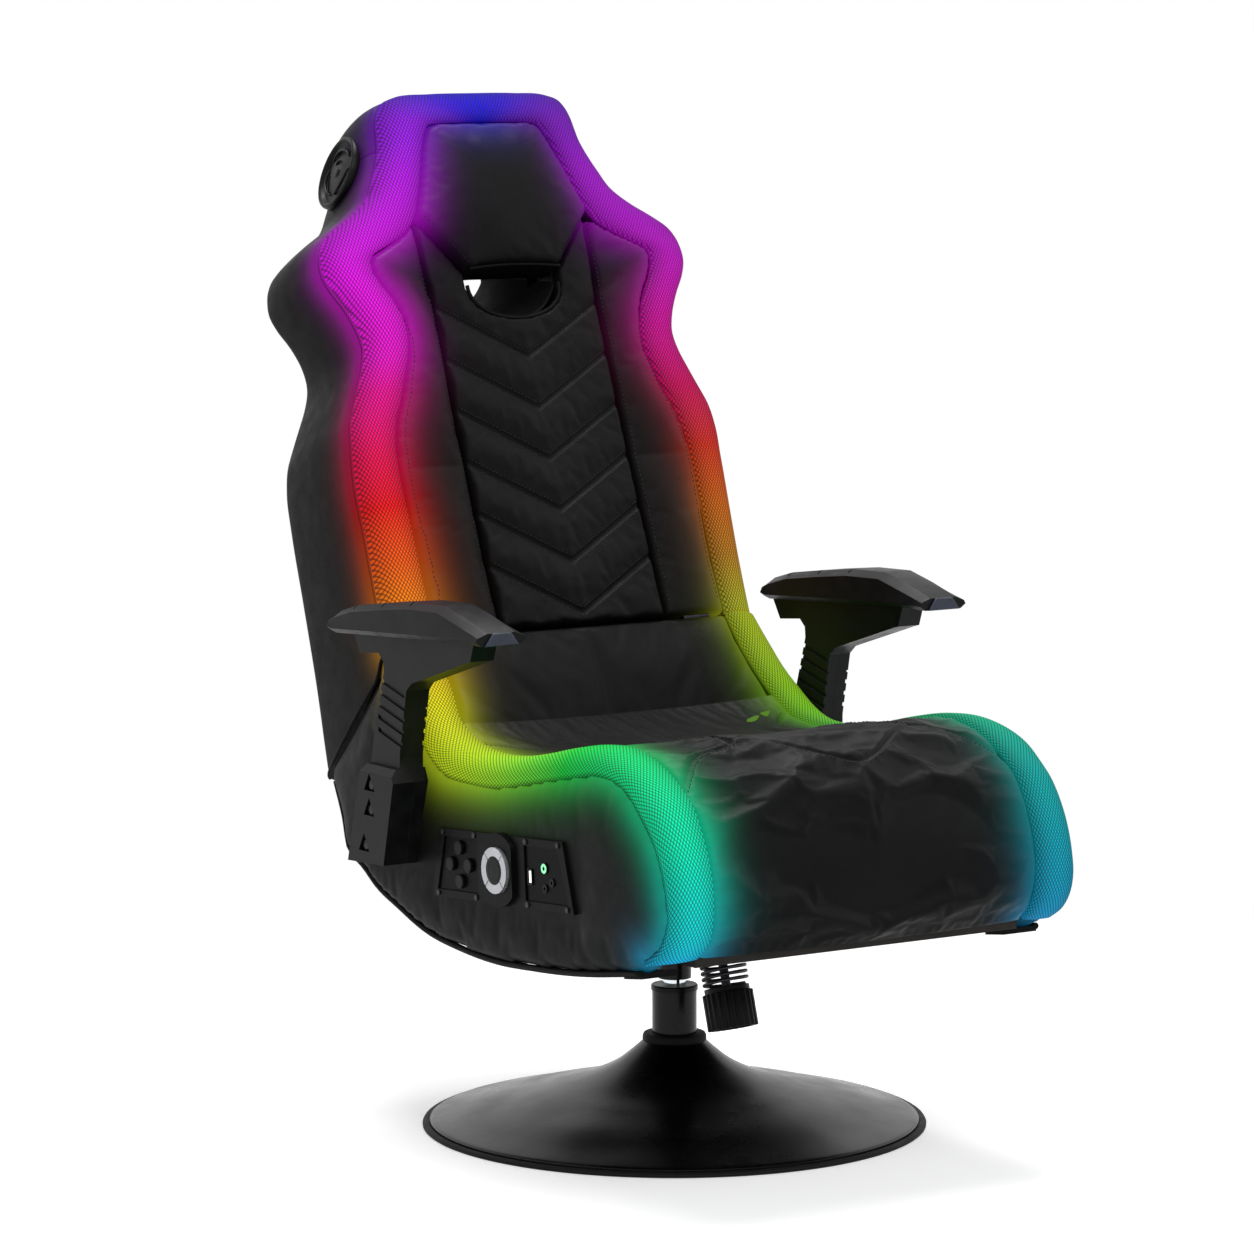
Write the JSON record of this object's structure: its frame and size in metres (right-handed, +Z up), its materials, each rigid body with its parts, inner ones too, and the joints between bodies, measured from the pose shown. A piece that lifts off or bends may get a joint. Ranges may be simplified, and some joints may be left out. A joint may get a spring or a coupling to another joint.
{
  "type": "pedestal gaming chair",
  "caption": "High-backed gaming chair on a round swivel pedestal, with a sprung rocking seat, folding back, padded arms, side console, speakers and lit mesh edging.",
  "frame": {"origin": "on the floor, where the swivel axis meets it", "axes": "+Z up along the swivel axis; the chair faces -Y; the sitter's right is -X"},
  "size_m": [0.63, 0.9118, 1.1102],
  "materials": {
    "vinyl": "matte",
    "light_mesh": "lit mesh",
    "black_steel": "satin powder coat",
    "chrome": "polished",
    "steel": "zinc plated",
    "bronze": "plain",
    "rubber": "matte",
    "black_plastic": "fine grain",
    "dark_plastic": "satin",
    "silver_plastic": "satin silver",
    "white_plastic": "plain",
    "board": "bare"
  },
  "bodies": {
    "base": {"floor_plate": "black_steel", "edge_trim": "rubber", "pedestal_cover": "black_steel", "neck_collar": "rubber", "column_sleeve": "black_steel", "column_cap": "black_plastic", "thrust_washer": "black_plastic"},
    "mechanism": {"swivel_post": "chrome", "mechanism_housing": "black_steel", "pivot_bushes": "bronze", "tension_spring": "steel"},
    "seat": {"seat_plate": "black_steel", "pivot_pin": "steel", "tension_bolt": "steel", "seat_plate_bolts": "steel", "bottom_board": "board", "seat_board": "board", "seat_cushion": "vinyl", "lumbar_cushion": "vinyl", "seat_side_right": "vinyl", "seat_side_left": "vinyl", "seat_light_strips": "light_mesh", "seat_led_tapes": "white_plastic", "corner_tabs": "black_plastic", "seat_hinge_leaves": "steel", "arm_outer_shell_right": "black_plastic", "arm_outer_shell_left": "black_plastic", "arm_inner_shell_right": "black_plastic", "arm_inner_shell_left": "black_plastic", "arm_pad_right": "black_plastic", "arm_pad_left": "black_plastic", "arm_badges": "dark_plastic", "arm_bolts": "steel", "console_housing": "black_plastic", "console_face_plates": "dark_plastic", "console_sockets": "silver_plastic", "console_screws": "steel", "amplifier_box": "black_plastic"},
    "back": {"back_frame": "black_steel", "back_side_right": "vinyl", "back_side_left": "vinyl", "head_crown_block": "vinyl", "back_bolsters": "vinyl", "chevron_panel": "vinyl", "head_pad": "vinyl", "back_light_strip": "light_mesh", "back_led_tape": "white_plastic", "rear_cover": "vinyl", "neck_slot_liner": "black_plastic", "back_hinge_leaves": "steel", "speaker_grilles": "black_plastic", "speaker_drivers": "dark_plastic", "speaker_screws": "steel"},
    "knob": {"tension_knob": "black_plastic"},
    "mode_front": {"mode_button_front": "silver_plastic"},
    "mode_upper": {"mode_button_upper": "silver_plastic"},
    "mode_rear": {"mode_button_rear": "silver_plastic"},
    "mode_lower": {"mode_button_lower": "silver_plastic"},
    "ring": {"control_ring": "silver_plastic"},
    "centre": {"centre_button": "black_plastic"}
  },
  "joints": [
    {"name": "swivel", "type": "hinge", "parent": "base", "child": "mechanism", "pos_m": [0, 0, 0], "axis": [0, 0, 1], "continuous": true},
    {"name": "seat_tilt", "type": "hinge", "parent": "mechanism", "child": "seat", "pos_m": [0, 0.026, 0.22], "axis": [-1, 0, 0], "range_deg": [0, 12], "stiffness_Nm_per_rad": 150, "springref_deg": -20.05, "deforming": ["tension_spring"]},
    {"name": "back_fold", "type": "hinge", "parent": "seat", "child": "back", "pos_m": [0, 0.18638, 0.52728], "axis": [1, 0, 0], "range_deg": [0, 110]},
    {"name": "tension_knob_turn", "type": "hinge", "parent": "seat", "child": "knob", "pos_m": [0, -0.101, 0.1665], "axis": [0, -0.2924, -0.9563], "range_deg": [-720, 720]},
    {"name": "mode_front_press", "type": "slide", "parent": "seat", "child": "mode_front", "axis": [1, 0, 0], "range_m": [0, 0.0015], "stiffness_N_per_m": 400},
    {"name": "mode_upper_press", "type": "slide", "parent": "seat", "child": "mode_upper", "axis": [1, 0, 0], "range_m": [0, 0.0015], "stiffness_N_per_m": 400},
    {"name": "mode_rear_press", "type": "slide", "parent": "seat", "child": "mode_rear", "axis": [1, 0, 0], "range_m": [0, 0.0015], "stiffness_N_per_m": 400},
    {"name": "mode_lower_press", "type": "slide", "parent": "seat", "child": "mode_lower", "axis": [1, 0, 0], "range_m": [0, 0.0015], "stiffness_N_per_m": 400},
    {"name": "ring_press", "type": "slide", "parent": "seat", "child": "ring", "axis": [1, 0, 0], "range_m": [0, 0.0015], "stiffness_N_per_m": 500},
    {"name": "centre_press", "type": "slide", "parent": "seat", "child": "centre", "axis": [1, 0, 0], "range_m": [0, 0.0015], "stiffness_N_per_m": 400}
  ]
}
